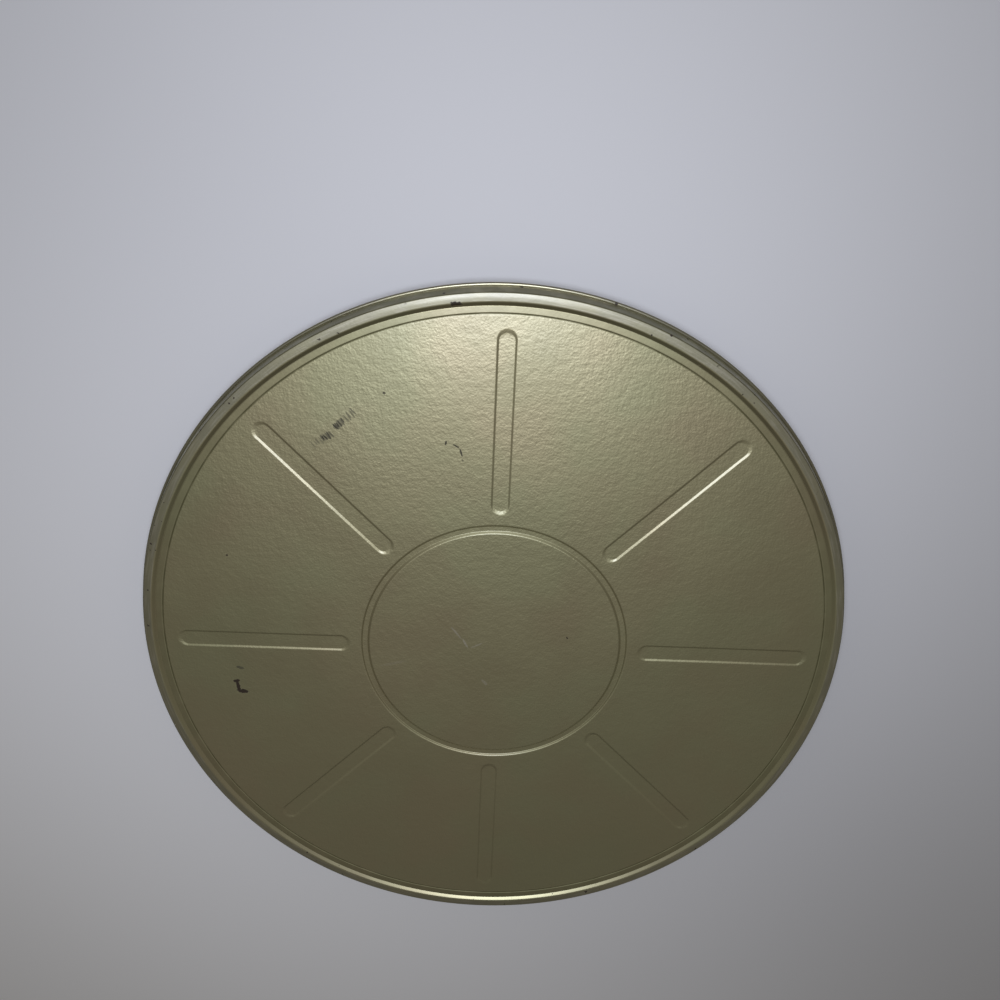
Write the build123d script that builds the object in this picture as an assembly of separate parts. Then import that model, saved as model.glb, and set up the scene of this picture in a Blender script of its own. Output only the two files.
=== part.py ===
from build123d import *
import math
import os

# A round pressed-steel can for one large reel of film: a base pan and a lid that slips over it.
# It lies flat. The origin is at the middle of the face that it rests on, and +Z points up
# through the lid. All sizes are in millimetres.

# The closed can
CAN_HEIGHT = 27.0
SHEET = 0.5
LID_GAP = 0.3

# The panel of the lid and of the base, which are pressed alike
CREASE_RADIUS = 168.3
CREASE_HALF_WIDTH = 0.5
CREASE_DEPTH = 0.15
SHOULDER_RISE = 0.2
SHOULDER_RADIUS = 171.5
CROWN_INNER_RADIUS = 173.4
CROWN_RISE = 1.7

# The round groove in the middle of each panel
GROOVE_DEPTH = 0.9
GROOVE_INNER_RADIUS = 64.6
GROOVE_INNER_SLOPE = 1.2
GROOVE_OUTER_RADIUS = 68.0
GROOVE_OUTER_SLOPE = 0.9

# The sunk ribs that stiffen each panel
RIB_COUNT = 8
RIB_FIRST_ANGLE = 2.3
RIB_INNER_END = 74.8
RIB_OUTER_END = 160.9
RIB_WIDTH = 8.2
RIB_DEPTH = 0.5
RIB_WALL_ANGLE = 62.0

# The lid's skirt, which flares a little, and its rolled edge
LID_RADIUS = 181.0
SKIRT_RADIUS = 177.5
CURL_DIAMETER = 1.8
CURL_CENTRE_DROP = 6.8
CURL_SWEEP = 300.0

# The base's wall and the fold at its top
WALL_CLEARANCE = 0.5
HEM_DEPTH = 4.5

# Bend radii of the outside face
SOFT_BEND = 1.0
TIGHT_BEND = 0.5
CREASE_BEND = 0.8
CREASE_ROOT_BEND = 0.4
CROWN_BEND = 2.0
RIM_BEND = 0.8

# Heights and radii that follow from the sizes above
LID_PANEL_Z = CAN_HEIGHT - CROWN_RISE
BASE_PANEL_Z = CROWN_RISE
CURL_RADIUS = CURL_DIAMETER / 2
CURL_HOLLOW_RADIUS = CURL_RADIUS - SHEET
CURL_CENTRE_RADIUS = LID_RADIUS - CURL_RADIUS
CURL_Z = LID_PANEL_Z - CURL_CENTRE_DROP
WALL_RADIUS = SKIRT_RADIUS - SHEET - WALL_CLEARANCE
WALL_TOP_Z = CAN_HEIGHT - SHEET - LID_GAP
HEM_ARC_Z = WALL_TOP_Z - SHEET


def pressed_corners(rim_radius):
    """The outside face's corners from the axis to the rim: radius, height over panel, bend."""
    inner_half = GROOVE_INNER_SLOPE / 2
    outer_half = GROOVE_OUTER_SLOPE / 2
    return [
        (GROOVE_INNER_RADIUS - inner_half, 0, SOFT_BEND),
        (GROOVE_INNER_RADIUS + inner_half, -GROOVE_DEPTH, TIGHT_BEND),
        (GROOVE_OUTER_RADIUS - outer_half, -GROOVE_DEPTH, TIGHT_BEND),
        (GROOVE_OUTER_RADIUS + outer_half, 0, SOFT_BEND),
        (CREASE_RADIUS - CREASE_HALF_WIDTH, 0, CREASE_BEND),
        (CREASE_RADIUS, -CREASE_DEPTH, CREASE_ROOT_BEND),
        (CREASE_RADIUS + CREASE_HALF_WIDTH, SHOULDER_RISE, CREASE_BEND),
        (SHOULDER_RADIUS, SHOULDER_RISE, TIGHT_BEND),
        (CROWN_INNER_RADIUS, CROWN_RISE, CROWN_BEND),
        (rim_radius, CROWN_RISE, RIM_BEND),
    ]


def inner_corner(before, corner, after, bend):
    """The matching corner and bend of the sheet's inner face."""
    first = (corner - before).normalized()
    second = (after - corner).normalized()
    first_normal = Vector(first.Y, -first.X)
    second_normal = Vector(second.Y, -second.X)
    shift = (first_normal + second_normal) * (SHEET / (1 + first_normal.dot(second_normal)))
    bends_towards_outside = first.cross(second).Z > 0
    return corner + shift, bend + SHEET if bends_towards_outside else bend - SHEET


def skirt_flare():
    """Degrees that the skirt leans outwards on its way from the crown to the curl's hollow."""
    reach = CURL_CENTRE_RADIUS - SKIRT_RADIUS
    drop = CAN_HEIGHT - CURL_Z
    lean = math.atan2(reach, drop)
    return math.degrees(lean - math.asin(CURL_HOLLOW_RADIUS / math.hypot(reach, drop)))


def sheet_lines(rim_radius, panel_z, outward, outer_foot, inner_foot):
    """The outer and inner line of the sheet, from the axis to their feet, each a radius and a z."""
    corners = pressed_corners(rim_radius)
    outer = [Vector(0, 0)]
    outer += [Vector(radius, height) for radius, height, bend in corners]
    outer += [Vector(outer_foot[0], (outer_foot[1] - panel_z) * outward)]
    outer_bends = [bend for radius, height, bend in corners]
    inner = [Vector(0, -SHEET)]
    inner_bends = []
    for index, bend in enumerate(outer_bends):
        point, inner_bend = inner_corner(*outer[index:index + 3], bend)
        inner.append(point)
        inner_bends.append(inner_bend)
    inner.append(Vector(inner_foot[0], (inner_foot[1] - panel_z) * outward))
    lines = []
    for points, bends in ((outer, outer_bends), (inner, inner_bends)):
        placed = [(point.X, 0, panel_z + outward * point.Y) for point in points]
        lines.append(FilletPolyline(*placed, radius=bends))
    return lines


def closed_face(*lines):
    """A face inside lines that meet end to end."""
    return Face(Wire([edge for line in lines for edge in line.edges()]))


def rib_slot(growth, top_z, direction):
    """One rib's pocket at 12 o'clock, wider by growth all round, going down from top_z."""
    length = RIB_OUTER_END - RIB_INNER_END + 2 * growth
    middle = (RIB_INNER_END + RIB_OUTER_END) / 2
    plane = Plane(origin=(0, middle, top_z), x_dir=(0, 1, 0), z_dir=(0, 0, direction))
    slot = plane * SlotOverall(length, RIB_WIDTH + 2 * growth)
    return extrude(slot, amount=RIB_DEPTH, taper=RIB_WALL_ANGLE)


def around(shape):
    """Copies of a shape at every rib's angle, clockwise from 12 o'clock as seen from above."""
    step = 360 / RIB_COUNT
    return [Rot(0, 0, -(RIB_FIRST_ANGLE + step * index)) * shape for index in range(RIB_COUNT)]


def press_ribs(shell, panel_z, inward):
    """Sinks the ribs into a panel whose outside face is at panel_z."""
    wall_half = RIB_DEPTH / 2 * math.tan(math.radians(RIB_WALL_ANGLE))
    skin_growth = SHEET * math.tan(math.radians(45 - RIB_WALL_ANGLE / 2))
    outer_skin = rib_slot(wall_half, panel_z, inward)
    inner_skin = rib_slot(wall_half + skin_growth, panel_z + inward * SHEET, inward)
    pressed = shell + around(inner_skin)
    return pressed - around(outer_skin)


def make_lid():
    """The lid: ribbed panel, raised rim, flared skirt and outward curl."""
    start_angle = 180 + skirt_flare()
    curl_plane = Plane(origin=(CURL_CENTRE_RADIUS, 0, CURL_Z), x_dir=(1, 0, 0), z_dir=(0, -1, 0))
    curl_hollow = curl_plane * CenterArc((0, 0), CURL_HOLLOW_RADIUS, start_angle, CURL_SWEEP)
    curl_outside = curl_plane * CenterArc((0, 0), CURL_RADIUS, start_angle, CURL_SWEEP)
    outer_foot = ((curl_hollow @ 0).X, (curl_hollow @ 0).Z)
    inner_foot = ((curl_outside @ 0).X, (curl_outside @ 0).Z)
    outer, inner = sheet_lines(SKIRT_RADIUS, LID_PANEL_Z, 1, outer_foot, inner_foot)
    axis_edge = Line(outer @ 0, inner @ 0)
    cut_edge = Line(curl_hollow @ 1, curl_outside @ 1)
    section = closed_face(outer, curl_hollow, cut_edge, curl_outside, inner, axis_edge)
    return press_ribs(revolve(section, axis=Axis.Z), LID_PANEL_Z, -1)


def hem_face():
    """The section of the folded edge at the top of the base's wall."""
    outer = (WALL_RADIUS, 0, HEM_ARC_Z)
    crest = (WALL_RADIUS - SHEET, 0, WALL_TOP_Z)
    inner = (WALL_RADIUS - 2 * SHEET, 0, HEM_ARC_Z)
    foot = (WALL_RADIUS - 2 * SHEET, 0, WALL_TOP_Z - HEM_DEPTH)
    outer_foot = (WALL_RADIUS, 0, WALL_TOP_Z - HEM_DEPTH)
    return closed_face(ThreePointArc(outer, crest, inner), Polyline(inner, foot, outer_foot, outer))


def make_base():
    """The base pan: ribbed floor, resting ring, upright wall and hem."""
    outer_foot = (WALL_RADIUS, HEM_ARC_Z)
    inner_foot = (WALL_RADIUS - SHEET, HEM_ARC_Z)
    outer, inner = sheet_lines(WALL_RADIUS, BASE_PANEL_Z, -1, outer_foot, inner_foot)
    section = closed_face(outer, Line(outer @ 1, inner @ 1), inner, Line(inner @ 0, outer @ 0))
    pan = revolve(section, axis=Axis.Z) + revolve(hem_face(), axis=Axis.Z)
    return press_ribs(pan, BASE_PANEL_Z, 1)


os.makedirs("parts", exist_ok=True)
export_step(make_base(), "parts/can_base.step")
export_step(make_lid(), "parts/can_lid.step")
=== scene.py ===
"""The looks of a round pressed-steel can for one large reel of film.

The can is a base pan and a lid that slips over it. Each is pressed from one sheet, with a round
groove, eight ribs and a raised rim, and both wear the same olive-gold lacquer. Sizes are in
millimetres, and turn into metres where a mesh, a lamp, the camera or a node takes them.
"""

import logging
import math
from dataclasses import dataclass, field
from enum import Enum
from typing import Any, Optional, Sequence

import bmesh
import bpy
import numpy as np
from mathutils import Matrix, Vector


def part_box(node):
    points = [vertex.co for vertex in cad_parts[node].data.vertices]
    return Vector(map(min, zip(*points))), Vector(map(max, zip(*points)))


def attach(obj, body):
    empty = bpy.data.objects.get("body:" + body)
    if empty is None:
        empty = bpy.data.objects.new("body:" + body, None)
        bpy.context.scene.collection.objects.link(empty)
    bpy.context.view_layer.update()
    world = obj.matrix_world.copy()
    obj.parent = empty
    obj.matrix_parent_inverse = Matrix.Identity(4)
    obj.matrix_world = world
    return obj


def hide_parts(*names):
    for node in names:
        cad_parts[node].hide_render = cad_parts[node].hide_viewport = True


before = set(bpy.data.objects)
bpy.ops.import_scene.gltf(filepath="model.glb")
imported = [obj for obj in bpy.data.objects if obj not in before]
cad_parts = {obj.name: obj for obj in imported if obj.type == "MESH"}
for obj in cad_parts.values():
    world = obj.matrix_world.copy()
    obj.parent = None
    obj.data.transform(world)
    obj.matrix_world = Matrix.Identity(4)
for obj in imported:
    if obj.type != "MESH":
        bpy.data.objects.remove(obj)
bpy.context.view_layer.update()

MM = 0.001
RIB_COUNT = 8
SECTOR = 2 * math.pi / RIB_COUNT
LOG = logging.getLogger("film_can")


class Facing(Enum):
    """Which way a panel's outside face looks."""

    UP = 1
    DOWN = -1


class MarkKind(Enum):
    """What a mark on the lacquer is."""

    CHIP = "chip"
    STROKE = "stroke"
    SCRATCH = "scratch"


@dataclass(frozen=True)
class Corner:
    """A corner of a section line.

    Attributes:
        radius: Distance from the can's axis, or from a rib's middle line.
        height: Height over the panel's outside face.
        bend: Radius that the corner is rounded to; 0 at the ends of a line.
    """

    radius: float
    height: float
    bend: float = 0.0


@dataclass(frozen=True)
class SectionLine:
    """A line across the sheet's section, with its corners rounded.

    Attributes:
        points: Radius and height of each point.
        facings: Unit vector out of the outside face at each point.
    """

    points: np.ndarray
    facings: np.ndarray

    def beneath(self, depth: float) -> np.ndarray:
        """The points of the line that runs parallel to this one, depth under its face."""
        return self.points - depth * self.facings


def left_of(direction: np.ndarray) -> np.ndarray:
    """The unit vector that points to the left of a direction."""
    left = np.array([-direction[1], direction[0]])
    return left / np.linalg.norm(left)


def turned(vector: np.ndarray, angle: float) -> np.ndarray:
    """A flat vector turned anticlockwise by an angle in radians."""
    cosine, sine = math.cos(angle), math.sin(angle)
    return np.array([cosine * vector[0] - sine * vector[1], sine * vector[0] + cosine * vector[1]])


def arc(centre: np.ndarray, spoke: np.ndarray, sweep: float, arc_step: float) -> list[np.ndarray]:
    """Points along an arc.

    Args:
        centre: The arc's centre.
        spoke: From the centre to the arc's first point.
        sweep: Angle in radians, positive anticlockwise.
        arc_step: The most that one step may turn, in radians.

    Returns:
        The points, both ends included.
    """
    steps = max(2, math.ceil(abs(sweep) / arc_step))
    return [centre + turned(spoke, sweep * step / steps) for step in range(steps + 1)]


def rounded_line(corners: Sequence[Corner], widest_gap: float, arc_step: float) -> SectionLine:
    """A section line through corners, with an arc at each and steps on its straight runs.

    Args:
        corners: From the first end to the last. Both ends have no bend.
        widest_gap: The most that two points on a straight run may lie apart.
        arc_step: The most that one step of an arc may turn, in radians.

    Returns:
        The line, whose outside face is on its left.
    """
    places = [np.array([corner.radius, corner.height]) for corner in corners]
    points = [places[0]]
    facings = [left_of(places[1] - places[0])]
    for index in range(1, len(corners)):
        facing = left_of(places[index] - places[index - 1])
        arrival = places[index]
        bow = [arrival]
        bow_facings = [facing]
        if index < len(corners) - 1:
            next_facing = left_of(places[index + 1] - places[index])
            cross = facing[0] * next_facing[1] - facing[1] * next_facing[0]
            turn = math.atan2(cross, facing @ next_facing)
            side = math.copysign(corners[index].bend, turn)
            centre = arrival + (facing + next_facing) * side / (1 + facing @ next_facing)
            bow = arc(centre, -side * facing, turn, arc_step)
            bow_facings = arc(np.zeros(2), facing, turn, arc_step)
        run = bow[0] - points[-1]
        steps = max(1, math.ceil(np.linalg.norm(run) / widest_gap))
        start = points[-1]
        for step in range(1, steps):
            points.append(start + run * step / steps)
            facings.append(facing)
        points.extend(bow)
        facings.extend(bow_facings)
    return SectionLine(np.array(points), np.array(facings))


@dataclass(frozen=True)
class Pressing:
    """The shape that both panels are pressed to, as their outside faces show it.

    Attributes:
        sheet: Thickness of the steel.
        crown_sag: How far the crown's two edges lie under its middle.
        crown_arch: Radius that the crown's middle is arched to.
        rib_first_angle: Degrees that the first rib is turned clockwise from +Y, seen from above.
        rib_end_ramp: How much wider the wall runs at a rib's ends than at its sides.
        inner_limit: Radius where the round zone of the groove meets the ribbed zone.
        outer_limit: Radius where the ribbed zone meets the rim.
    """

    sheet: float = 0.5
    arc_step: float = math.radians(11)

    crease_radius: float = 168.3
    crease_half_width: float = 0.5
    crease_depth: float = 0.15
    shoulder_rise: float = 0.2
    shoulder_radius: float = 171.8
    crown_inner_radius: float = 173.4
    crown_rise: float = 1.7
    crown_sag: float = 0.1

    groove_depth: float = 0.9
    groove_inner_radius: float = 64.6
    groove_inner_slope: float = 1.2
    groove_outer_radius: float = 68.0
    groove_outer_slope: float = 0.7

    rib_first_angle: float = 2.3
    rib_inner_end: float = 74.8
    rib_outer_end: float = 160.9
    rib_width: float = 8.2
    rib_depth: float = 0.5
    rib_wall_angle: float = 62.0
    rib_end_ramp: float = 1.0

    soft_bend: float = 1.0
    tight_bend: float = 0.5
    crease_bend: float = 0.8
    crease_root_bend: float = 0.4
    crown_bend: float = 1.5
    crown_arch: float = 10.0
    rim_bend: float = 0.8
    rib_edge_bend: float = 1.0
    rib_root_bend: float = 0.8

    inner_limit: float = 70.5
    outer_limit: float = 166.6
    inner_steps: int = 22
    outer_steps: int = 36
    side_steps: int = 26
    spread_loops: int = 8
    ripple: float = 0.12

    def groove_line(self) -> SectionLine:
        """The outside face from the axis, through the round groove, to the ribbed zone."""
        inner_half = self.groove_inner_slope / 2
        outer_half = self.groove_outer_slope / 2
        corners = [
            Corner(0, 0),
            Corner(self.groove_inner_radius - inner_half, 0, self.soft_bend),
            Corner(self.groove_inner_radius + inner_half, -self.groove_depth, self.tight_bend),
            Corner(self.groove_outer_radius - outer_half, -self.groove_depth, self.tight_bend),
            Corner(self.groove_outer_radius + outer_half, 0, self.soft_bend),
            Corner(self.inner_limit, 0),
        ]
        return rounded_line(corners, 7.0, self.arc_step)

    def rib_wall_half(self) -> float:
        """Half of the width that a rib's wall takes up, seen from above."""
        return self.rib_depth / 2 * math.tan(math.radians(self.rib_wall_angle))

    def rib_end_reach(self, half_width: float) -> float:
        """How far past its end's centre a rib's outline runs, where its sides are half_width apart."""
        half = self.rib_width / 2
        floor_half = half - 1.5 * self.rib_wall_half()
        floor_reach = floor_half + self.rib_end_ramp * (floor_half - half)
        if half_width < floor_half:
            return floor_reach * half_width / floor_half
        return half_width + self.rib_end_ramp * (half_width - half)

    def rib_line(self) -> SectionLine:
        """The outside face across half a rib, from its middle to just outside its wall."""
        half = self.rib_width / 2
        corners = [
            Corner(0, -self.rib_depth),
            Corner(half - self.rib_wall_half(), -self.rib_depth, self.rib_root_bend),
            Corner(half + self.rib_wall_half(), 0, self.rib_edge_bend),
            Corner(half + self.rib_wall_half() + 1.0, 0),
        ]
        return rounded_line(corners, 2.5, self.arc_step)

    def rim_corners(self, rim_radius: float) -> list[Corner]:
        """The outside face's corners from the ribbed zone to the top of the upright wall.

        Args:
            rim_radius: Radius of the upright wall's outside.

        Returns:
            The corners, without the wall's foot.
        """
        edge_rise = self.crown_rise - self.crown_sag
        return [
            Corner(self.outer_limit, 0),
            Corner(self.crease_radius - self.crease_half_width, 0, self.crease_bend),
            Corner(self.crease_radius, -self.crease_depth, self.crease_root_bend),
            Corner(self.crease_radius + self.crease_half_width, self.shoulder_rise, self.crease_bend),
            Corner(self.shoulder_radius, self.shoulder_rise, self.tight_bend),
            Corner(self.crown_inner_radius, edge_rise, self.crown_bend),
            Corner((self.crown_inner_radius + rim_radius) / 2, self.crown_rise, self.crown_arch),
            Corner(rim_radius, edge_rise, self.rim_bend),
        ]

    def ripple_at(self, x: np.ndarray, y: np.ndarray) -> np.ndarray:
        """How far the sheet rises or sinks by its own unevenness.

        Args:
            x: Places across the panel.
            y: Places along the panel.

        Returns:
            Heights, which are 0 at the groove and outside the ribs.
        """
        radius = np.hypot(x, y)
        disc = np.clip(1 - radius / (self.groove_inner_radius - 4), 0, 1)
        ribbed = np.clip((radius - self.inner_limit) / 18, 0, 1)
        ribbed *= np.clip((self.outer_limit - radius) / 18, 0, 1)
        mask = np.maximum(disc, ribbed)
        mask = mask * mask * (3 - 2 * mask)
        waves = np.sin(x / 19 + 1.3) * np.sin(y / 23 + 0.4) + 0.6 * np.sin((x + 0.7 * y) / 12 + 2.1)
        return self.ripple * mask * waves


class SheetMesh:
    """Gathers the grids of one stamping, in millimetres, and welds them into one mesh."""

    def __init__(self) -> None:
        self.points: list[np.ndarray] = []
        self.faces: list[tuple[int, int, int, int]] = []
        self.count = 0

    def add_grid(self, grid: np.ndarray) -> None:
        """Adds a grid whose columns run right round and meet.

        Args:
            grid: Points as rows, columns and coordinates.
        """
        rows, columns = grid.shape[:2]
        start = self.count
        self.points.append(grid.reshape(-1, 3))
        self.count += rows * columns
        for row in range(rows - 1):
            base = start + row * columns
            for column in range(columns):
                here = base + column
                beside = base + (column + 1) % columns
                self.faces.append((here, beside, beside + columns, here + columns))

    def weld(self, name: str, sharp_angle: float) -> bpy.types.Object:
        """Makes the object: doubles merged, faces outwards, flats kept flat in the shading.

        Args:
            name: Name of the piece.
            sharp_angle: Angle in radians over which an edge stays sharp.

        Returns:
            The new object, linked to the scene.
        """
        mesh = bpy.data.meshes.new(name)
        mesh.from_pydata((np.concatenate(self.points) * MM).tolist(), [], self.faces)
        cleaner = bmesh.new()
        cleaner.from_mesh(mesh)
        bmesh.ops.remove_doubles(cleaner, verts=cleaner.verts, dist=0.002 * MM)
        bmesh.ops.recalc_face_normals(cleaner, faces=cleaner.faces)
        cleaner.to_mesh(mesh)
        cleaner.free()
        mesh.shade_smooth()
        mesh.set_sharp_from_angle(angle=sharp_angle)
        piece = bpy.data.objects.new(name, mesh)
        bpy.context.scene.collection.objects.link(piece)
        even = piece.modifiers.new("even_shading", "WEIGHTED_NORMAL")
        even.keep_sharp = True
        return piece


@dataclass
class Stamping:
    """One pressed sheet of the can, from its middle to its edge.

    Attributes:
        piece: Name of the piece.
        node: The CAD node that it stands for.
        body: The body that it rides on.
        facing: Which way the panel's outside looks.
        pressing: The panel's shape.
    """

    piece: str
    node: str
    body: str
    facing: Facing
    pressing: Pressing = field(default_factory=Pressing)

    def __post_init__(self) -> None:
        low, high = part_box(self.node)
        self.low_z = low.z / MM
        self.high_z = high.z / MM
        self.widest_radius = (high.x - low.x) / 2 / MM
        if self.facing is Facing.UP:
            self.panel_z = self.high_z - self.pressing.crown_rise
        else:
            self.panel_z = self.low_z + self.pressing.crown_rise

    def edge_lines(self) -> SectionLine:
        """The outside face from the ribbed zone to the sheet's free edge."""
        raise NotImplementedError

    def build(self) -> bpy.types.Object:
        """Builds the piece and puts it on its body in its node's place."""
        sheet = SheetMesh()
        self.add_middle(sheet)
        self.add_ribs(sheet)
        self.add_rim(sheet)
        piece = sheet.weld(self.piece, math.radians(40))
        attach(piece, self.body)
        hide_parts(self.node)
        return piece

    def lift(self, x: np.ndarray, y: np.ndarray, height: np.ndarray) -> np.ndarray:
        """Places panel points in the can, with the sheet's unevenness.

        Args:
            x: Places across the can.
            y: Places along the can.
            height: Heights over the panel's outside face.

        Returns:
            The points, with the coordinates on the last axis.
        """
        uneven = height + self.pressing.ripple_at(x, y)
        return np.stack([x, y, self.panel_z + self.facing.value * uneven], axis=-1)

    def ring_angles(self, steps: int) -> np.ndarray:
        """Clockwise angles of steps points to a sector, from the left side of the first sector."""
        start = math.radians(self.pressing.rib_first_angle) - SECTOR / 2
        return start + SECTOR * np.arange(RIB_COUNT * steps) / steps

    def revolved(self, line: np.ndarray, steps: int) -> np.ndarray:
        """A grid that turns section points about the axis.

        Args:
            line: Radius and height of each point.
            steps: Columns to a sector.

        Returns:
            The grid.
        """
        angles = self.ring_angles(steps)
        x = np.outer(line[:, 0], np.sin(angles))
        y = np.outer(line[:, 0], np.cos(angles))
        height = np.repeat(line[:, 1:2], len(angles), axis=1)
        return self.lift(x, y, height)

    def add_middle(self, sheet: SheetMesh) -> None:
        """Adds both faces of the disc and the round groove."""
        line = self.pressing.groove_line()
        for depth in (0.0, self.pressing.sheet):
            sheet.add_grid(self.revolved(line.beneath(depth), self.pressing.inner_steps))

    def sector_loop(self) -> np.ndarray:
        """The outline of one sector of the ribbed zone, at 12 o'clock."""
        pressing = self.pressing
        inner = np.linspace(-SECTOR / 2, SECTOR / 2, pressing.inner_steps, endpoint=False)
        outer = np.linspace(SECTOR / 2, -SECTOR / 2, pressing.outer_steps, endpoint=False)
        rising = np.linspace(pressing.inner_limit, pressing.outer_limit, pressing.side_steps, endpoint=False)
        falling = np.linspace(pressing.outer_limit, pressing.inner_limit, pressing.side_steps, endpoint=False)
        angles = np.concatenate([
            inner,
            np.full(pressing.side_steps, SECTOR / 2),
            outer,
            np.full(pressing.side_steps, -SECTOR / 2),
        ])
        radii = np.concatenate([
            np.full(pressing.inner_steps, pressing.inner_limit),
            rising,
            np.full(pressing.outer_steps, pressing.outer_limit),
            falling,
        ])
        return np.stack([radii * np.sin(angles), radii * np.cos(angles)], axis=-1)

    def rib_loop(self, half_width: float) -> np.ndarray:
        """The outline of one rib at 12 o'clock, with the sector's count of points.

        Args:
            half_width: Distance of the outline from the rib's middle line.

        Returns:
            The points, from the left of the inner end and anticlockwise.
        """
        pressing = self.pressing
        inner_centre = pressing.rib_inner_end + pressing.rib_width / 2
        outer_centre = pressing.rib_outer_end - pressing.rib_width / 2
        reach = pressing.rib_end_reach(half_width)
        inner = np.linspace(math.pi, 2 * math.pi, pressing.inner_steps, endpoint=False)
        outer = np.linspace(0, math.pi, pressing.outer_steps, endpoint=False)
        rising = np.linspace(inner_centre, outer_centre, pressing.side_steps, endpoint=False)
        falling = np.linspace(outer_centre, inner_centre, pressing.side_steps, endpoint=False)
        across = np.concatenate([
            half_width * np.cos(inner),
            np.full(pressing.side_steps, half_width),
            half_width * np.cos(outer),
            np.full(pressing.side_steps, -half_width),
        ])
        along = np.concatenate([
            inner_centre + reach * np.sin(inner),
            rising,
            outer_centre + reach * np.sin(outer),
            falling,
        ])
        return np.stack([across, along], axis=-1)

    def add_ribs(self, sheet: SheetMesh) -> None:
        """Adds both faces of the ribbed zone, one sector at a time."""
        pressing = self.pressing
        line = pressing.rib_line()
        outline = self.sector_loop()
        shares = (np.arange(1, pressing.spread_loops + 1) / pressing.spread_loops) ** 1.5
        for depth in (0.0, pressing.sheet):
            section = line.beneath(depth)
            loops = [self.rib_loop(half_width) for half_width in section[:, 0]]
            heights = list(section[:, 1])
            loops += [loops[-1] * (1 - share) + outline * share for share in shares]
            heights += [section[-1, 1]] * len(shares)
            flat = np.array(loops)
            height = np.repeat(np.array(heights)[:, None], flat.shape[1], axis=1)
            for rib in range(RIB_COUNT):
                angle = math.radians(pressing.rib_first_angle) + SECTOR * rib
                x = flat[..., 0] * math.cos(angle) + flat[..., 1] * math.sin(angle)
                y = flat[..., 1] * math.cos(angle) - flat[..., 0] * math.sin(angle)
                sheet.add_grid(self.lift(x, y, height))

    def add_rim(self, sheet: SheetMesh) -> None:
        """Adds the rim as one strip: out along the outside face, back along the inside."""
        line = self.edge_lines()
        strip = np.concatenate([line.points, line.beneath(self.pressing.sheet)[::-1]])
        sheet.add_grid(self.revolved(strip, self.pressing.outer_steps))


@dataclass
class CanLid(Stamping):
    """The lid: ribbed panel, raised rim, flared skirt and outward curl.

    Attributes:
        overhang: How far the curl stands out past the top of the skirt.
        curl_diameter: Outside of the rolled edge.
        curl_sweep: Degrees that the sheet is rolled through.
    """

    overhang: float = 3.5
    curl_diameter: float = 1.8
    curl_sweep: float = 300.0

    def edge_lines(self) -> SectionLine:
        """The outside face from the ribbed zone, down the skirt and round inside the curl."""
        pressing = self.pressing
        skirt_radius = self.widest_radius - self.overhang
        curl_radius = self.curl_diameter / 2
        hollow_radius = curl_radius - pressing.sheet
        centre = np.array([self.widest_radius - curl_radius, self.low_z + curl_radius - self.panel_z])
        reach, drop = centre[0] - skirt_radius, pressing.crown_rise - centre[1]
        flare = math.atan2(reach, drop) - math.asin(hollow_radius / math.hypot(reach, drop))
        spoke = turned(np.array([-hollow_radius, 0.0]), flare)
        foot = Corner(*(centre + spoke))
        skirt = rounded_line([*pressing.rim_corners(skirt_radius), foot], 2.5, pressing.arc_step)
        curl = np.array(arc(centre, spoke, math.radians(self.curl_sweep), pressing.arc_step / 2))
        facings = (centre - curl) / hollow_radius
        return SectionLine(
            np.concatenate([skirt.points, curl[1:]]),
            np.concatenate([skirt.facings, facings[1:]]),
        )


@dataclass
class CanBase(Stamping):
    """The base pan: ribbed floor, resting ring, upright wall and folded top edge.

    Attributes:
        hem_depth: How far the fold reaches down inside the wall.
        hem_seam: Depth of the fine seam between the fold's edge and the wall.
    """

    hem_depth: float = 4.5
    hem_seam: float = 0.3

    def edge_lines(self) -> SectionLine:
        """The outside face from the ribbed zone, up the wall and over the fold."""
        pressing = self.pressing
        wall_height = self.panel_z - (self.high_z - pressing.sheet)
        foot = Corner(self.widest_radius, wall_height)
        return rounded_line([*pressing.rim_corners(self.widest_radius), foot], 4.0, pressing.arc_step)

    def add_rim(self, sheet: SheetMesh) -> None:
        """Adds the rim as one strip: up the wall, over the fold and back down inside."""
        pressing = self.pressing
        line = self.edge_lines()
        wall_height = line.points[-1, 1]
        crest = np.array([self.widest_radius - pressing.sheet, wall_height])
        fold = arc(crest, np.array([pressing.sheet, 0.0]), -math.pi, pressing.arc_step)
        inner_radius = self.widest_radius - 2 * pressing.sheet
        foot_height = self.panel_z - (self.high_z - self.hem_depth)
        edge = [
            np.array([inner_radius, foot_height - 0.1]),
            np.array([inner_radius + 0.1, foot_height]),
            np.array([inner_radius + 0.38, foot_height]),
            np.array([crest[0] - 0.03, foot_height - self.hem_seam]),
            np.array([crest[0], foot_height]),
        ]
        inside = line.beneath(pressing.sheet)[::-1][1:]
        strip = np.concatenate([line.points, fold[1:], edge, inside])
        sheet.add_grid(self.revolved(strip, pressing.outer_steps))


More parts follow.
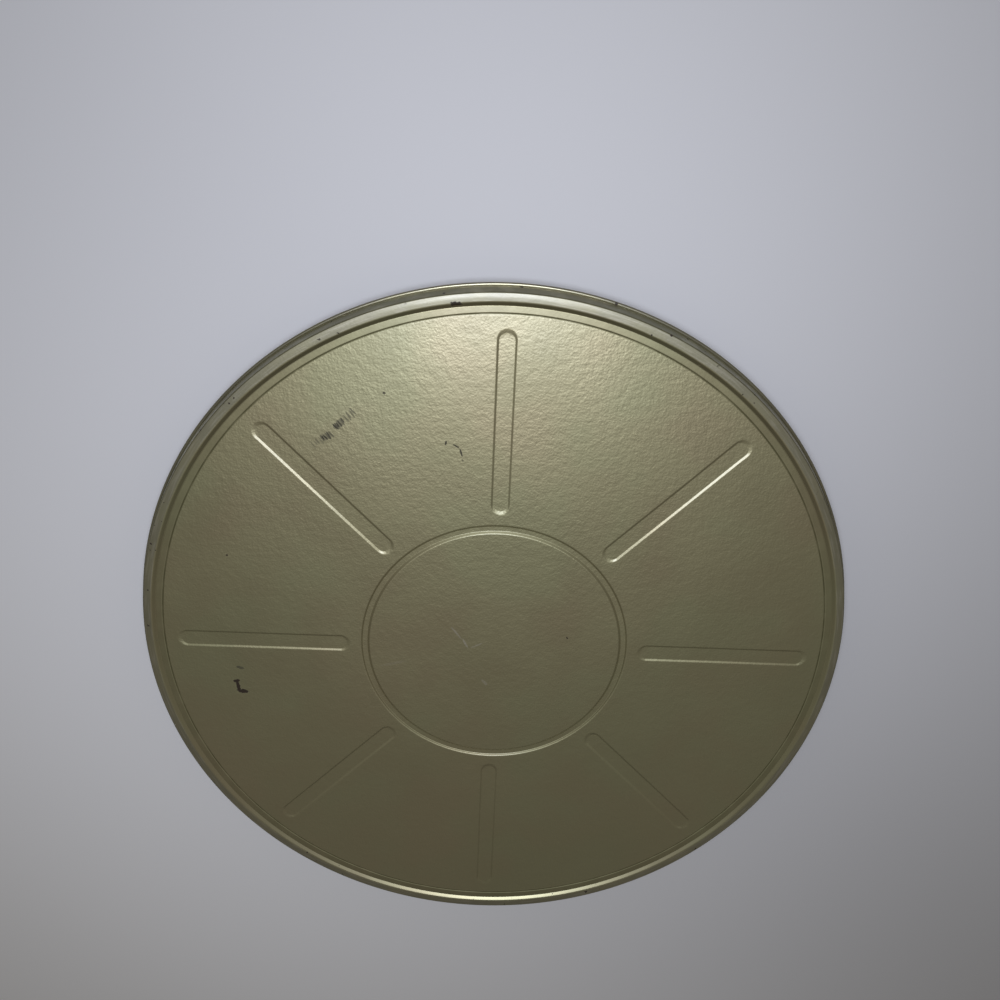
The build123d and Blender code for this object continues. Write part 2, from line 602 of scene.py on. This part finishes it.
class NodeBoard:
    """Short calls that add nodes to one material and link them.

    Attributes:
        tree: The material's node tree.
    """

    def __init__(self, material: bpy.types.Material) -> None:
        material.use_nodes = True
        self.tree = material.node_tree
        self.tree.nodes.clear()

    def add(
        self, kind: str, inputs: Optional[dict[Any, Any]] = None, **settings: Any
    ) -> bpy.types.Node:
        """Adds a node.

        Args:
            kind: The node's type.
            inputs: Values or sockets by the name or number of the input that takes them.
            **settings: The node's own settings.

        Returns:
            The node.
        """
        node = self.tree.nodes.new(kind)
        for name, value in settings.items():
            setattr(node, name, value)
        for key, value in (inputs or {}).items():
            if isinstance(value, bpy.types.NodeSocket):
                self.tree.links.new(value, node.inputs[key])
            else:
                node.inputs[key].default_value = value
        return node

    def compute(self, operation: str, first: Any, second: Any = 0.0) -> bpy.types.NodeSocket:
        """The result of a Math node on one or two values or sockets."""
        return self.add("ShaderNodeMath", {0: first, 1: second}, operation=operation).outputs[0]

    def noise(
        self, place: bpy.types.NodeSocket, size: float, detail: float = 2.0
    ) -> bpy.types.NodeSocket:
        """Soft noise from 0 to 1.

        Args:
            place: Coordinates in metres.
            size: Width of one cell in millimetres.
            detail: How many finer layers are added.

        Returns:
            The value's socket.
        """
        inputs = {"Vector": place, "Scale": 1 / (size * MM), "Detail": detail}
        return self.add("ShaderNodeTexNoise", inputs).outputs["Fac"]

    def fade(
        self, value: Any, start: float, end: float, low: float = 0.0, high: float = 1.0
    ) -> bpy.types.NodeSocket:
        """A smooth step.

        Args:
            value: The value that is read.
            start: Where the step starts.
            end: Where it ends.
            low: The result up to start.
            high: The result from end on.

        Returns:
            The result's socket.
        """
        inputs = {"Value": value, "From Min": start, "From Max": end, "To Min": low, "To Max": high}
        return self.add("ShaderNodeMapRange", inputs, interpolation_type="SMOOTHSTEP").outputs[0]

    def vector(self, operation: str, inputs: dict[Any, Any], output: int = 0) -> bpy.types.NodeSocket:
        """The result of a Vector Math node; output 1 is its plain number."""
        return self.add("ShaderNodeVectorMath", inputs, operation=operation).outputs[output]

    def mix(self, share: Any, first: Any, second: Any) -> bpy.types.NodeSocket:
        """A colour between two colours."""
        inputs = {0: share, 6: first, 7: second}
        return self.add("ShaderNodeMix", inputs, data_type="RGBA").outputs[2]


@dataclass(frozen=True)
class Mark:
    """One mark on the lacquer, an ellipse with ragged edges.

    Attributes:
        kind: What it is.
        x: Place across the can.
        y: Place along the can.
        half_length: Half of its longer way.
        half_width: Half of its shorter way.
        angle: Degrees that its longer way is turned anticlockwise from +X.
        height: Its height over the panel.
        strength: How strong it is, from 0 to 1.
    """

    kind: MarkKind
    x: float
    y: float
    half_length: float
    half_width: float
    angle: float = 0.0
    height: float = 0.0
    strength: float = 1.0


@dataclass(frozen=True)
class StrokeRow:
    """A smudge: uneven parallel strokes side by side, which say nothing.

    Attributes:
        start: Middle of the first stroke.
        end: Middle of the last stroke.
        count: How many strokes there are.
        seed: Seed of their unevenness.
        strength: How strong the strongest stroke is, from 0 to 1.
        half_length: Half of a stroke's usual length.
        half_width: Half of a stroke's width.
        angle: Degrees that the strokes are turned anticlockwise from +X.
    """

    start: tuple[float, float]
    end: tuple[float, float]
    count: int
    seed: int
    strength: float = 1.0
    half_length: float = 2.3
    half_width: float = 0.46
    angle: float = -54.0

    def marks(self) -> tuple[Mark, ...]:
        """The strokes, the same on every run."""
        chance = np.random.default_rng(self.seed)
        strokes = []
        for share in np.linspace(0, 1, self.count):
            x, y = np.array(self.start) * (1 - share) + np.array(self.end) * share
            x, y = np.array([x, y]) + chance.uniform(-0.55, 0.55, 2)
            half_length = self.half_length * chance.uniform(0.55, 1.15)
            angle = self.angle + chance.uniform(-7, 7)
            strength = self.strength * chance.uniform(0.7, 1.0)
            stroke = Mark(MarkKind.STROKE, x, y, half_length, self.half_width, angle, 0.0, strength)
            strokes.append(stroke)
        return tuple(strokes)


LID_MARKS = (
    *StrokeRow((-83.0, 109.3), (-80.0, 111.3), 4, 3, 0.6).marks(),
    *StrokeRow((-79.2, 111.9), (-75.0, 114.3), 6, 5).marks(),
    *StrokeRow((-72.4, 117.2), (-68.7, 120.8), 6, 8).marks(),
    *StrokeRow((-67.6, 121.7), (-63.8, 124.6), 5, 9, 0.6).marks(),
    Mark(MarkKind.STROKE, -77.2, 113.0, 3.2, 1.9, 32, 0.0, 0.45),
    Mark(MarkKind.STROKE, -70.6, 119.0, 3.2, 1.9, 43, 0.0, 0.5),
    Mark(MarkKind.STROKE, -22.0, 109.9, 1.3, 0.5, 80, 0.0, 0.9),
    Mark(MarkKind.STROKE, -17.2, 108.3, 1.8, 0.45, -30, 0.0, 0.9),
    Mark(MarkKind.STROKE, -15.0, 105.1, 2.2, 0.5, -72, 0.0, 0.9),
    Mark(MarkKind.STROKE, -14.4, 101.4, 0.9, 0.4, -60, 0.0, 0.6),
    Mark(MarkKind.STROKE, -132.0, -11.6, 2.3, 1.0, -15, 0.0, 0.8),
    Mark(MarkKind.CHIP, -49.3, 133.3, 0.9, 0.7, -40, 0.0, 0.8),
    Mark(MarkKind.CHIP, -130.5, 52.9, 0.7, 0.5),
    Mark(MarkKind.CHIP, 37.4, 5.9, 0.7, 0.45, -60),
    Mark(MarkKind.CHIP, -135.0, -19.6, 1.9, 1.1, 12),
    Mark(MarkKind.CHIP, -134.5, -22.9, 3.3, 1.2, 96),
    Mark(MarkKind.CHIP, -132.5, -26.0, 3.5, 1.4, -8),
    Mark(MarkKind.CHIP, -15.9, 172.6, 3.3, 1.3, 2, 1.1),
    Mark(MarkKind.CHIP, -21.1, 176.8, 0.8, 0.6, 0, -0.6),
    Mark(MarkKind.CHIP, 12.4, 178.6, 1.1, 0.6, 0, -5.4),
    Mark(MarkKind.CHIP, 54.3, 171.8, 0.8, 0.8, 0, -5.9),
    Mark(MarkKind.CHIP, -134.2, 116.6, 1.0, 0.8, 30, 1.7),
    Mark(MarkKind.CHIP, -146.5, 105.4, 0.8, 0.6, 0, 1.7),
    Mark(MarkKind.SCRATCH, -19.4, 9.2, 4.4, 0.6, -54, 0.0, 0.5),
    Mark(MarkKind.SCRATCH, -14.9, 3.0, 3.4, 0.6, -64, 0.0, 0.6),
    Mark(MarkKind.SCRATCH, -9.0, 1.6, 4.6, 0.5, 24, 0.0, 0.4),
    Mark(MarkKind.SCRATCH, -5.2, -20.8, 2.6, 0.9, -50, 0.0, 0.4),
    Mark(MarkKind.SCRATCH, -52.0, -9.0, 8.0, 0.8, 12, 0.0, 0.15),
)


@dataclass(frozen=True)
class LacquerFinish:
    """Glossy olive-gold metallic lacquer with an orange-peel surface, worn at its edges.

    Attributes:
        name: Name of the material.
        colour: The lacquer's own colour.
        green_tint: Its colour where it is greener.
        brown_tint: Its colour where it is browner.
        thin_colour: Steel that shows through lacquer worn thin, on the crown and the curl.
        rim_dark_colour: Dark colour laid in the crease and on the shoulder, and painted shade down the skirt.
        bare_colour: Dark rusted steel where the lacquer is chipped off.
        smudge_colour: Dirt on the lacquer.
        rubbed_colour: Lacquer that is scratched or rubbed.
        metallic: How far it shines as metal.
        roughness: Spread of its shine.
        coat: Share of the clear coat.
        coat_roughness: Spread of the clear coat's shine.
        coat_ior: Refraction index of the clear coat.
        coat_peel: Share of the orange peel that the clear coat's own face has.
        peel_size: Width of the orange peel's fine grain.
        peel_depth: Depth of that grain.
        dimple_size: Width of its broad dimples.
        dimple_depth: Depth of those dimples.
        rim_start: Radius from which the sheet is drawn smooth and the orange peel ends.
        rim_gloss: How much less the shine spreads on the crown's inner wall and on the curl.
        crown_rub: How far the rim's flat top is rubbed.
        inside_rub: How far the face that looks up is scuffed in circles.
        skirt_shade: How strong the painted shade is on the sheet outside the crown.
        marks: The marks on it.
        marks_z: Height of the panel that the marks lie on.
    """

    name: str
    colour: tuple[float, float, float, float] = (0.325, 0.292, 0.156, 1.0)
    green_tint: tuple[float, float, float, float] = (0.314, 0.294, 0.155, 1.0)
    brown_tint: tuple[float, float, float, float] = (0.336, 0.290, 0.158, 1.0)
    thin_colour: tuple[float, float, float, float] = (0.252, 0.233, 0.147, 1.0)
    rim_dark_colour: tuple[float, float, float, float] = (0.105, 0.098, 0.040, 1.0)
    bare_colour: tuple[float, float, float, float] = (0.024, 0.014, 0.005, 1.0)
    smudge_colour: tuple[float, float, float, float] = (0.028, 0.023, 0.010, 1.0)
    rubbed_colour: tuple[float, float, float, float] = (0.50, 0.46, 0.36, 1.0)
    metallic: float = 0.9
    roughness: float = 0.53
    coat: float = 1.0
    coat_roughness: float = 0.34
    coat_ior: float = 1.55
    coat_peel: float = 0.5
    peel_size: float = 1.0
    peel_depth: float = 0.12
    dimple_size: float = 3.6
    dimple_depth: float = 0.14
    rim_start: float = 167.6
    rim_gloss: float = 0.2
    crown_rub: float = 0.25
    inside_rub: float = 0.0
    skirt_shade: float = 0.8
    marks: tuple[Mark, ...] = ()
    marks_z: float = 0.0

    def mark_mask(
        self, board: NodeBoard, place: bpy.types.NodeSocket, kind: MarkKind
    ) -> bpy.types.NodeSocket:
        """Where marks of one kind lie.

        Args:
            board: The material's nodes.
            place: Coordinates in metres.
            kind: The kind of mark.

        Returns:
            A socket that is a mark's strength on such a mark and 0 elsewhere.
        """
        inputs = {"Vector": place, "Scale": 1 / (1.3 * MM), "Detail": 2.0}
        ragged = board.add("ShaderNodeTexNoise", inputs).outputs["Color"]
        shake = board.vector("SUBTRACT", {0: ragged, 1: (0.5, 0.5, 0.5)})
        mask: Any = 0.0
        for mark in self.marks:
            if mark.kind is not kind:
                continue
            inputs = {
                "Vector": place,
                "Location": (mark.x * MM, mark.y * MM, (self.marks_z + mark.height) * MM),
                "Rotation": (0.0, 0.0, math.radians(mark.angle)),
                "Scale": (mark.half_length * MM, mark.half_width * MM, MM),
            }
            local = board.add("ShaderNodeMapping", inputs, vector_type="TEXTURE").outputs[0]
            reach = board.vector("LENGTH", {0: board.vector("ADD", {0: local, 1: shake})}, 1)
            mask = board.compute("MAXIMUM", mask, board.fade(reach, 1.05, 0.75, 0.0, mark.strength))
        return board.compute("MAXIMUM", mask, 0.0)

    def circling(
        self, board: NodeBoard, flat: bpy.types.NodeSocket, radius: bpy.types.NodeSocket
    ) -> bpy.types.NodeSocket:
        """Noise drawn out into streaks round the can's axis.

        Args:
            board: The material's nodes.
            flat: Coordinates without their height.
            radius: Distance from the axis.

        Returns:
            A socket from 0 to 1.
        """
        around = board.vector("SCALE", {0: board.vector("NORMALIZE", {0: flat}), "Scale": 14.0})
        across = board.compute("MULTIPLY", radius, 1 / (0.7 * MM))
        lifted = board.add("ShaderNodeCombineXYZ", {2: across}).outputs[0]
        inputs = {"Vector": board.vector("ADD", {0: around, 1: lifted}), "Scale": 1.0, "Detail": 3.0}
        return board.add("ShaderNodeTexNoise", inputs).outputs["Fac"]

    def rubbing(
        self,
        board: NodeBoard,
        flat: bpy.types.NodeSocket,
        radius: bpy.types.NodeSocket,
        rise: bpy.types.NodeSocket,
    ) -> bpy.types.NodeSocket:
        """Where the lacquer is rubbed: the rim's flat top, and the face that the reel lies on.

        Args:
            board: The material's nodes.
            flat: Coordinates without their height.
            radius: Distance from the axis.
            rise: How far the surface looks up, from -1 to 1.

        Returns:
            A socket from 0 to 1.
        """
        streaks = board.fade(self.circling(board, flat, radius), 0.48, 0.66)
        level = board.fade(board.compute("ABSOLUTE", rise), 0.9, 0.97, 0.0, self.crown_rub)
        crown = board.compute("MULTIPLY", self.band(board, radius, 173.1, 177.1, 1.0), level)
        inside = board.compute(
            "MULTIPLY",
            board.fade(rise, 0.9, 0.97, 0.0, self.inside_rub),
            board.fade(radius, 168.0 * MM, 166.0 * MM),
        )
        return board.compute("MULTIPLY", streaks, board.compute("MAXIMUM", crown, inside))

    def band(
        self, board: NodeBoard, radius: bpy.types.NodeSocket, inner: float, outer: float, edge: float
    ) -> bpy.types.NodeSocket:
        """A ring with soft edges.

        Args:
            board: The material's nodes.
            radius: Distance from the axis.
            inner: Radius of its inner edge, in millimetres.
            outer: Radius of its outer edge, in millimetres.
            edge: Width of each soft edge, in millimetres.

        Returns:
            A socket that is 1 in the ring and 0 elsewhere.
        """
        rising = board.fade(radius, (inner - edge / 2) * MM, (inner + edge / 2) * MM)
        falling = board.fade(radius, (outer + edge / 2) * MM, (outer - edge / 2) * MM)
        return board.compute("MULTIPLY", rising, falling)

    def thinning(
        self,
        board: NodeBoard,
        place: bpy.types.NodeSocket,
        radius: bpy.types.NodeSocket,
        rise: bpy.types.NodeSocket,
    ) -> bpy.types.NodeSocket:
        """Where the lacquer is worn thin: on the crown and on the curl.

        Args:
            board: The material's nodes.
            place: Coordinates in metres.
            radius: Distance from the axis.
            rise: How far the surface looks up, from -1 to 1.

        Returns:
            A socket from 0 to 1.
        """
        level = board.fade(board.compute("ABSOLUTE", rise), 0.6, 0.8)
        crown = board.compute("MULTIPLY", self.band(board, radius, 173.7, 177.4, 0.8), level)
        curl = self.band(board, radius, 179.4, 182.0, 0.4)
        uneven = board.fade(board.noise(place, 18, 3), 0.35, 0.6, 0.7, 1.0)
        return board.compute("MULTIPLY", board.compute("MAXIMUM", crown, curl), uneven)

    def rim_darkening(
        self, board: NodeBoard, place: bpy.types.NodeSocket, radius: bpy.types.NodeSocket
    ) -> bpy.types.NodeSocket:
        """Where the rim is darkened: in the crease, a little on the shoulder, and down the skirt, where it is
        painted shade.

        Args:
            board: The material's nodes.
            place: Coordinates in metres.
            radius: Distance from the axis.

        Returns:
            A socket from 0 to 1.
        """
        # Darker in the crease and, by less, on the shoulder.
        crease = self.band(board, radius, 168.0, 168.6, 0.5)
        shoulder = board.compute("MULTIPLY", self.band(board, radius, 168.8, 171.6, 0.5), 0.3)
        # Painted shade: the skirt is darkened, as if it mirrored the shaded floor under the curl.
        skirt = board.compute("MULTIPLY", self.band(board, radius, 177.2, 179.3, 0.4), self.skirt_shade)
        darkening = board.compute("MAXIMUM", skirt, board.compute("MAXIMUM", crease, shoulder))
        uneven = board.fade(board.noise(place, 9, 3), 0.3, 0.6, 0.5, 0.85)
        return board.compute("MULTIPLY", darkening, uneven)

    def edge_chips(
        self, board: NodeBoard, place: bpy.types.NodeSocket, radius: bpy.types.NodeSocket
    ) -> bpy.types.NodeSocket:
        """Small chips that gather here and there along the rim.

        Args:
            board: The material's nodes.
            place: Coordinates in metres.
            radius: Distance from the axis.

        Returns:
            A socket from 0 to 1.
        """
        specks = board.fade(board.noise(place, 2.2, 1.0), 0.72, 0.75)
        gathered = board.fade(board.noise(place, 45, 1.0), 0.50, 0.58)
        rim = board.fade(radius, 171.6 * MM, 173.0 * MM)
        return board.compute("MULTIPLY", specks, board.compute("MULTIPLY", gathered, rim))

    def build(self) -> bpy.types.Material:
        """Builds the material."""
        material = bpy.data.materials.new(self.name)
        board = NodeBoard(material)
        coordinates = board.add("ShaderNodeTexCoord")
        place = coordinates.outputs["Object"]
        flat = board.vector("MULTIPLY", {0: place, 1: (1.0, 1.0, 0.0)})
        radius = board.vector("LENGTH", {0: flat}, 1)
        rise = board.add("ShaderNodeSeparateXYZ", {0: coordinates.outputs["Normal"]}).outputs["Z"]

        patches = board.noise(place, 55, 2)
        colour = board.mix(board.fade(patches, 0.50, 0.66), self.colour, self.green_tint)
        colour = board.mix(board.fade(patches, 0.50, 0.34), colour, self.brown_tint)
        colour = board.mix(self.thinning(board, place, radius, rise), colour, self.thin_colour)
        # Darkens the crease and the shoulder, and paints shade down the skirt.
        darkening = self.rim_darkening(board, place, radius)
        colour = board.mix(darkening, colour, self.rim_dark_colour)
        rubbed = self.rubbing(board, flat, radius, rise)
        scratches = self.mark_mask(board, place, MarkKind.SCRATCH)
        rubbed = board.compute("MAXIMUM", rubbed, scratches)
        colour = board.mix(rubbed, colour, self.rubbed_colour)
        smudges = self.mark_mask(board, place, MarkKind.STROKE)
        colour = board.mix(smudges, colour, self.smudge_colour)
        chips = self.mark_mask(board, place, MarkKind.CHIP)
        chips = board.compute("MAXIMUM", chips, self.edge_chips(board, place, radius))
        colour = board.mix(chips, colour, self.bare_colour)

        fine = board.noise(place, self.peel_size, 3.0)
        broad = board.noise(place, self.dimple_size, 1.0)
        deeper = self.dimple_depth / self.peel_depth
        height = board.compute("ADD", fine, board.compute("MULTIPLY", broad, deeper))
        level = board.fade(board.compute("ABSOLUTE", rise), 0.86, 0.97, 0.15, 1.0)
        drawn = board.fade(radius, self.rim_start * MM, (self.rim_start + 1) * MM, 1.0, 0.25)
        strength = board.compute("MULTIPLY", level, drawn)
        inputs = {"Height": height, "Distance": self.peel_depth * MM, "Strength": strength}
        bump = board.add("ShaderNodeBump", inputs).outputs[0]
        inputs["Distance"] = self.coat_peel * self.peel_depth * MM
        coat_bump = board.add("ShaderNodeBump", inputs).outputs[0]

        cloud = board.noise(place, 28, 3)
        roughness = board.fade(cloud, 0.3, 0.7, self.roughness - 0.025, self.roughness + 0.025)
        wall = self.band(board, radius, 171.5, 173.4, 0.5)
        curl = self.band(board, radius, 179.5, 182.0, 0.4)
        gloss = board.compute("MULTIPLY", board.compute("MAXIMUM", wall, curl), self.rim_gloss)
        roughness = board.compute("SUBTRACT", roughness, gloss)
        worn = board.compute("MAXIMUM", smudges, chips)
        roughness = board.compute("ADD", roughness, board.compute("MULTIPLY", worn, 0.25))
        metallic = board.compute("SUBTRACT", self.metallic, board.compute("MULTIPLY", worn, 0.8))
        dulled = board.compute("MAXIMUM", worn, darkening)
        coat = board.compute("SUBTRACT", self.coat, board.compute("MULTIPLY", dulled, 0.9 * self.coat))

        inputs = {
            "Base Color": colour,
            "Metallic": metallic,
            "Roughness": roughness,
            "Coat Weight": coat,
            "Coat Roughness": self.coat_roughness,
            "Coat IOR": self.coat_ior,
            "Normal": bump,
            "Coat Normal": coat_bump,
        }
        shader = board.add("ShaderNodeBsdfPrincipled", inputs)
        board.add("ShaderNodeOutputMaterial", {"Surface": shader.outputs[0]})
        return material


@dataclass(frozen=True)
class Softbox:
    """A soft studio lamp.

    Attributes:
        name: Name of the lamp.
        place: Its middle, in metres.
        target: The point that it faces, in metres.
        width: Its size across, in metres.
        depth: Its size the other way, in metres.
        watts: Its power.
        colour: Its tint.
    """

    name: str
    place: tuple[float, float, float]
    target: tuple[float, float, float]
    width: float
    depth: float
    watts: float
    colour: tuple[float, float, float]

    def build(self) -> bpy.types.Object:
        """Builds the lamp, out of the camera's sight."""
        light = bpy.data.lights.new(self.name, "AREA")
        light.shape = "RECTANGLE"
        light.size = self.width
        light.size_y = self.depth
        light.energy = self.watts
        light.color = self.colour
        lamp = bpy.data.objects.new(self.name, light)
        bpy.context.scene.collection.objects.link(lamp)
        lamp.location = self.place
        way = np.array(self.target) - np.array(self.place)
        lamp.rotation_euler = Vector(way).to_track_quat("-Z", "Y").to_euler()
        lamp.visible_camera = False
        return lamp


@dataclass(frozen=True)
class Studio:
    """The pale floor, the soft light and the camera.

    Attributes:
        floor_half: Half of the floor's side, in metres.
        floor_colour: The floor's colour.
        floor_lit_colour: Its colour to the lower left of the can, paler there as painted light falling from that
            side.
        surround_colour: The dim room that the metal mirrors.
        surround_strength: How bright that room is all round the can.
        horizon_strength: How bright it is near the floor.
        overhead_strength: How bright it is straight up, where whoever looks on stands in its light.
        camera_place: The camera, in metres.
        camera_tilt: Degrees that it leans from straight down towards -Y.
        camera_yaw: Degrees that it leans towards +X, which is negative.
        focal_pixels: Focal length in pixels of the picture.
        picture_pixels: The picture's width in pixels.
        sensor_width: The sensor's width in millimetres.
    """

    floor_half: float = 12.0
    floor_colour: tuple[float, float, float, float] = (0.585, 0.575, 0.565, 1.0)
    floor_lit_colour: tuple[float, float, float, float] = (0.87, 0.855, 0.83, 1.0)
    surround_colour: tuple[float, float, float, float] = (1.0, 0.945, 0.84, 1.0)
    surround_strength: float = 0.225
    horizon_strength: float = 0.035
    overhead_strength: float = 0.06
    camera_place: tuple[float, float, float] = (0.00241, 0.20759, 0.35573)
    camera_tilt: float = 20.87
    camera_yaw: float = -0.11
    focal_pixels: float = 743.17
    picture_pixels: float = 1000.0
    sensor_width: float = 36.0
    lamps: tuple[Softbox, ...] = (
        Softbox("key", (-0.005, 0.225, 0.45), (0.0, 0.1, 0.0), 0.15, 0.15, 1.95, (0.80, 0.85, 1.0)),
    )

    def build(self) -> None:
        """Builds the floor, the surroundings, the lamps and the camera."""
        self.build_floor()
        self.build_surround()
        for lamp in self.lamps:
            lamp.build()
        self.build_camera()
        bpy.context.scene.view_settings.view_transform = "Standard"

    def build_floor(self) -> None:
        """Lays the floor that the can rests on."""
        half = self.floor_half
        corners = [(-half, -half, 0), (half, -half, 0), (half, half, 0), (-half, half, 0)]
        mesh = bpy.data.meshes.new("floor")
        mesh.from_pydata(corners, [], [(0, 1, 2, 3)])
        floor = bpy.data.objects.new("floor", mesh)
        bpy.context.scene.collection.objects.link(floor)
        material = bpy.data.materials.new("floor")
        board = NodeBoard(material)
        place = board.add("ShaderNodeTexCoord").outputs["Object"]
        # Painted light: the floor is paler towards the lower left of the can, as if lit from that side.
        leftward = board.vector("DOT_PRODUCT", {0: place, 1: (-0.7, -0.7, 0.0)}, 1)
        near = board.fade(board.vector("LENGTH", {0: place}, 1), 0.5, 2.0, 1.0, 0.0)
        pale = board.compute("MULTIPLY", board.fade(leftward, -0.1, 0.35), near)
        colour = board.mix(pale, self.floor_colour, self.floor_lit_colour)
        inputs = {"Base Color": colour, "Roughness": 0.7, "Specular IOR Level": 0.2}
        shader = board.add("ShaderNodeBsdfPrincipled", inputs)
        board.add("ShaderNodeOutputMaterial", {"Surface": shader.outputs[0]})
        mesh.materials.append(material)

    def build_surround(self) -> None:
        """Sets the dim, slightly warm room all round."""
        world = bpy.data.worlds.new("surround")
        board = NodeBoard(world)
        way = board.add("ShaderNodeTexCoord").outputs["Generated"]
        rise = board.add("ShaderNodeSeparateXYZ", {0: way}).outputs["Z"]
        rising = board.fade(rise, 0.1, 0.6, self.horizon_strength, self.surround_strength)
        shade = board.fade(rise, 0.75, 1.0, 0.0, self.surround_strength - self.overhead_strength)
        strength = board.compute("SUBTRACT", rising, shade)
        inputs = {"Color": self.surround_colour, "Strength": strength}
        background = board.add("ShaderNodeBackground", inputs)
        board.add("ShaderNodeOutputWorld", {"Surface": background.outputs[0]})
        bpy.context.scene.world = world

    def build_camera(self) -> None:
        """Sets up the camera."""
        data = bpy.data.cameras.new("camera")
        data.sensor_width = self.sensor_width
        data.lens = self.sensor_width * self.focal_pixels / self.picture_pixels
        data.clip_start = 0.01
        camera = bpy.data.objects.new("camera", data)
        bpy.context.scene.collection.objects.link(camera)
        camera.location = self.camera_place
        camera.rotation_euler = (math.radians(-self.camera_tilt), math.radians(self.camera_yaw), 0.0)
        bpy.context.scene.camera = camera


def main() -> None:
    """Builds the can and its studio."""
    logging.basicConfig(level=logging.INFO, format="%(message)s")
    lid = CanLid("lid_shell", "can_lid", "lid", Facing.UP)
    base = CanBase("base_shell", "can_base", "base", Facing.DOWN)
    lid_finish = LacquerFinish("lid_lacquer", marks=LID_MARKS, marks_z=lid.panel_z)
    base_finish = LacquerFinish("base_lacquer", marks_z=base.panel_z, crown_rub=0.6, inside_rub=0.4, skirt_shade=0.0)
    for stamping, finish in ((lid, lid_finish), (base, base_finish)):
        piece = stamping.build()
        piece.data.materials.append(finish.build())
        LOG.info("%s: %d faces", piece.name, len(piece.data.polygons))
    Studio().build()


if __name__ == "__main__":
    main()
